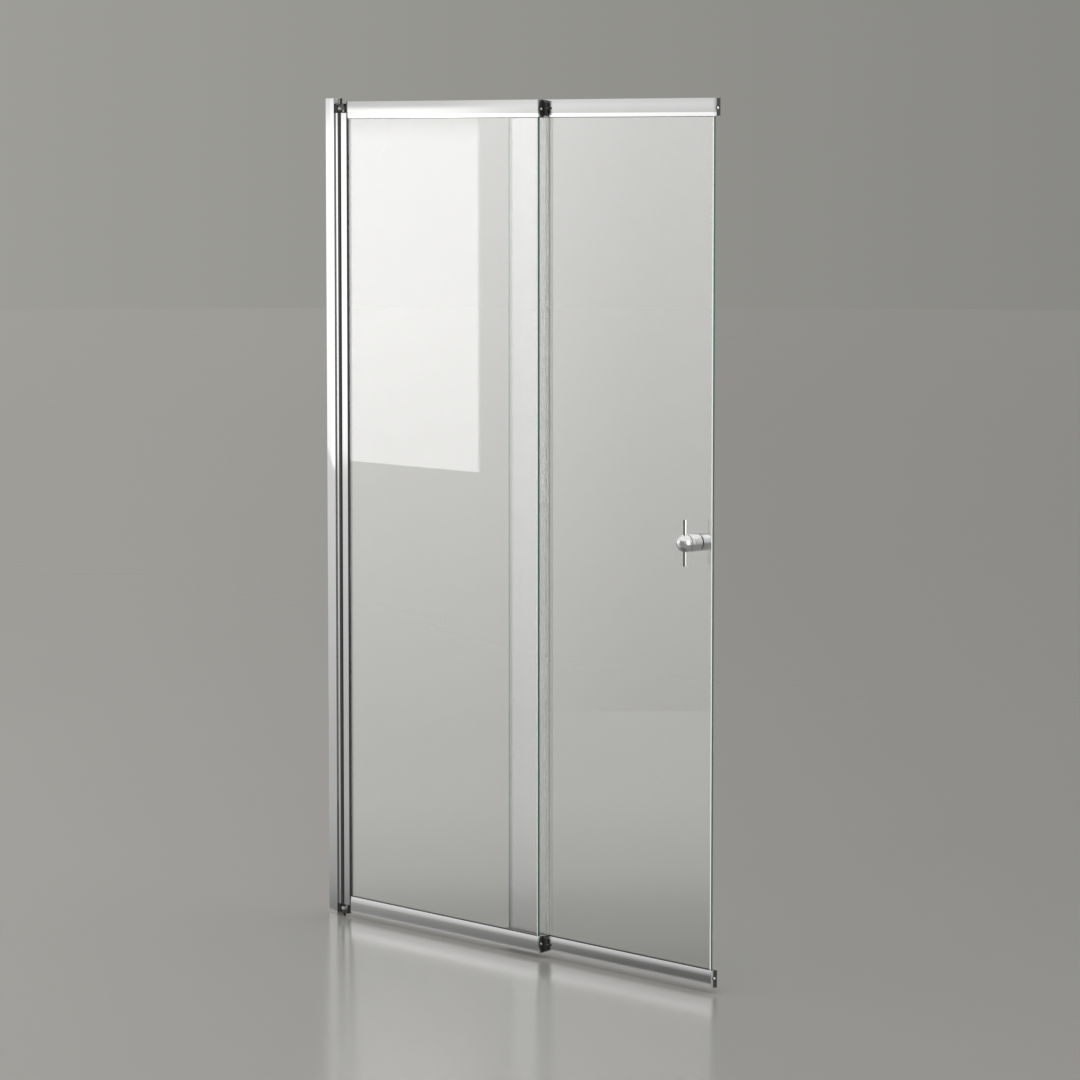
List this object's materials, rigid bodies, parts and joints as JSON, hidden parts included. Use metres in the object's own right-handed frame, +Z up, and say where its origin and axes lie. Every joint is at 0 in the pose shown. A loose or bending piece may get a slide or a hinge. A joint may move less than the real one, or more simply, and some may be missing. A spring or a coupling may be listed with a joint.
{
  "type": "sliding bath screen",
  "caption": "Pivoting bath screen with a wall profile, a hinged glass panel and a railed glass panel that slides behind it, with a ball-headed pull knob.",
  "frame": {"origin": "on the wall face of the wall profile, at its middle wall screw, half way up the screen", "axes": "+X out from the wall along the glass at rest, +Y towards the bath side where the sliding panel lies, +Z up"},
  "size_m": [1.0016, 0.0695, 1.5],
  "materials": {
    "chrome_profile": "polished",
    "chrome": "polished",
    "satin_stile": "bright anodised, satin",
    "satin_rail": "anodised, satin",
    "steel": "plain stainless",
    "dark_steel": "black coated",
    "black_plastic": "moulded, matte",
    "grey_plastic": "moulded, matte",
    "seal_rubber": "soft black",
    "clear_vinyl": "clear, slightly grey",
    "clear_glass": "clear toughened, green at its edges"
  },
  "bodies": {
    "wall_frame": {"wall_profile": "chrome_profile", "wall_plug_top": "grey_plastic", "wall_plug_bottom": "grey_plastic", "adjusting_profile": "satin_stile", "adjusting_screws": "steel", "hinge_seal": "seal_rubber", "fixed_arm_top": "black_plastic", "fixed_arm_bottom": "black_plastic", "fixed_arm_screws": "steel", "hinge_pin_top": "dark_steel", "hinge_pin_bottom": "dark_steel", "hinge_collar_top": "grey_plastic", "hinge_collar_bottom": "grey_plastic"},
    "hinged_panel": {"pivot_arm_top": "black_plastic", "pivot_arm_bottom": "black_plastic", "pivot_arm_screws": "steel", "pivot_profile": "satin_stile", "pivot_gasket": "seal_rubber", "hinged_glass": "clear_glass", "hinged_rail_top": "satin_rail", "hinged_rail_bottom": "satin_rail", "hinged_gasket_top": "seal_rubber", "hinged_gasket_bottom": "seal_rubber", "hinged_joint_caps": "black_plastic", "hinged_cap_top": "black_plastic", "hinged_cap_bottom": "black_plastic", "hinged_end_trims": "satin_rail", "hinged_cap_screws": "steel", "guide_nose_top": "black_plastic", "guide_nose_bottom": "black_plastic", "buffer_pins": "steel", "buffer_tips": "seal_rubber", "travel_stop_top": "seal_rubber", "travel_stop_bottom": "seal_rubber", "panel_seal": "clear_vinyl"},
    "sliding_panel": {"sliding_glass": "clear_glass", "sliding_rail_top": "satin_rail", "sliding_rail_bottom": "satin_rail", "sliding_gasket_top": "seal_rubber", "sliding_gasket_bottom": "seal_rubber", "sliding_cap_top": "black_plastic", "sliding_cap_bottom": "black_plastic", "sliding_rear_caps": "black_plastic", "sliding_end_trims": "satin_rail", "sliding_cap_screws": "steel", "carrier_top": "black_plastic", "carrier_bottom": "black_plastic", "carrier_screws": "steel", "knob_body": "chrome", "knob_cross_bar": "chrome", "knob_grub_screw": "dark_steel", "knob_washer": "seal_rubber", "inner_knob": "chrome", "inner_knob_washer": "seal_rubber", "knob_stud": "steel", "glass_bush": "grey_plastic"}
  },
  "joints": [
    {"name": "screen_pivot", "type": "hinge", "parent": "wall_frame", "child": "hinged_panel", "pos_m": [0.035, 0, 0], "axis": [0, 0, 1], "range_deg": [-90, 88]},
    {"name": "panel_slide", "type": "slide", "parent": "hinged_panel", "child": "sliding_panel", "axis": [-1, 0, 0], "range_m": [0, 0.35]}
  ]
}
